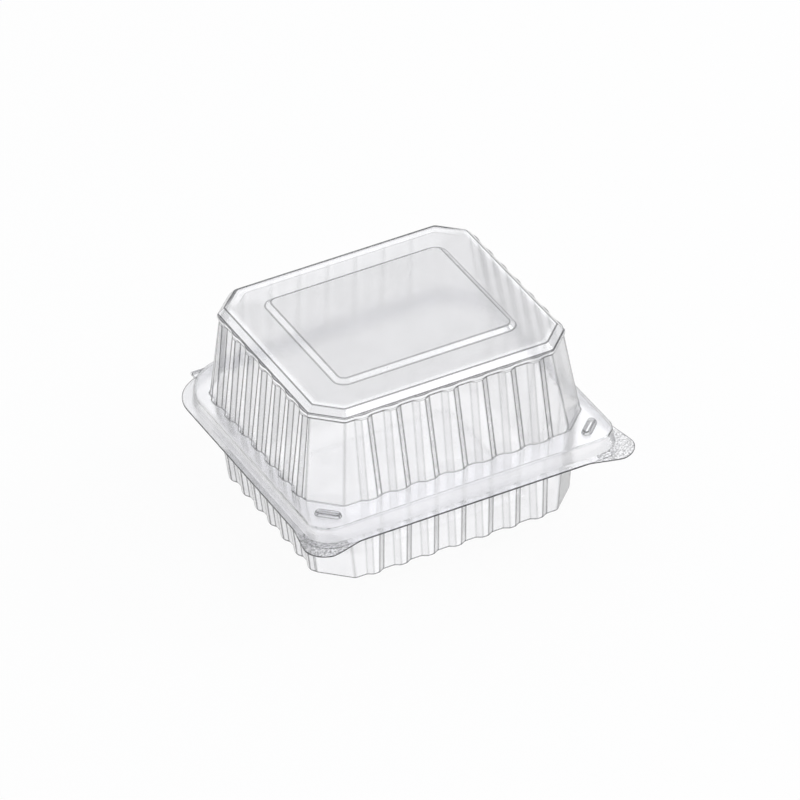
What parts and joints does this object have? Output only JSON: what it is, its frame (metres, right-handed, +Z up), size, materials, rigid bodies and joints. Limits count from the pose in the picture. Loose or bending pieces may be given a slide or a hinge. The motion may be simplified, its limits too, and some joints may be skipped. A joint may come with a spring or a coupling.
{
  "type": "plastic clamshell pack",
  "caption": "Clear hinged clamshell pack: a ribbed square tray and a ribbed domed lid on a back hinge, with a flanged rim, front pull tabs and snap buttons.",
  "frame": {"origin": "centre of the footprint, on the surface that the pack stands on", "axes": "+X along the hinge, +Y from the pull tabs towards the hinge, +Z up"},
  "size_m": [0.1624, 0.158, 0.092],
  "materials": {
    "clear_sheet": "clear glossy thermoformed PET sheet, finely stippled on the pull tabs"
  },
  "bodies": {
    "tray": {"tray": "clear_sheet"},
    "lid": {"lid": "clear_sheet"}
  },
  "joints": [
    {"name": "lid_hinge", "type": "hinge", "parent": "tray", "child": "lid", "pos_m": [0, 0.07795, 0.03615], "axis": [-1, 0, 0], "range_deg": [0, 150]}
  ]
}
